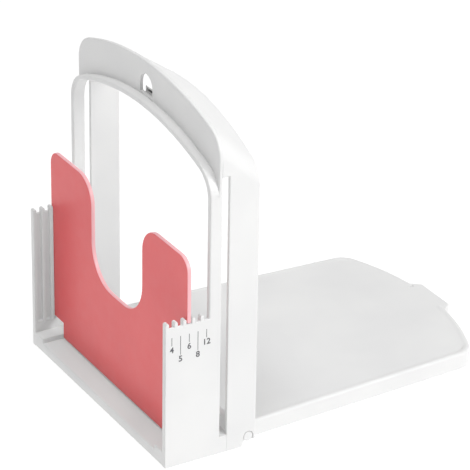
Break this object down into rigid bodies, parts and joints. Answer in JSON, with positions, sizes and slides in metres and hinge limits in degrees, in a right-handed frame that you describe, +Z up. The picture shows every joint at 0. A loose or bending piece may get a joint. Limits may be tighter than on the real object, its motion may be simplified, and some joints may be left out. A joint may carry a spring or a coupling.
{
  "type": "bread slicer guide",
  "caption": "Guide for slicing a loaf by hand: notched tray, slotted arch for the knife, folding loaf board and a lift-out plate with a U cut-out that sets the slice thickness.",
  "frame": {"origin": "on the table, midway across the frame, in the middle of the knife slot", "axes": "+X along the loaf from the tray to the free end of the board, +Y across to the far side, +Z up"},
  "size_m": [0.2174, 0.152, 0.1916],
  "materials": {
    "white_plastic": "satin",
    "pink_plastic": "satin",
    "grey_rubber": "matte"
  },
  "bodies": {
    "frame": {"front_frame": "white_plastic", "rear_frame": "white_plastic"},
    "board": {"loaf_board": "white_plastic", "board_foot_near": "grey_rubber", "board_foot_far": "grey_rubber"},
    "plate": {"thickness_plate": "pink_plastic"}
  },
  "joints": [
    {"name": "board_fold", "type": "hinge", "parent": "frame", "child": "board", "pos_m": [0.0152, 0, 0.0053], "axis": [0, -1, 0], "range_deg": [0, 90]},
    {"name": "plate_lift", "type": "slide", "parent": "frame", "child": "plate", "axis": [0, 0, 1], "range_m": [0, 0.065]}
  ]
}
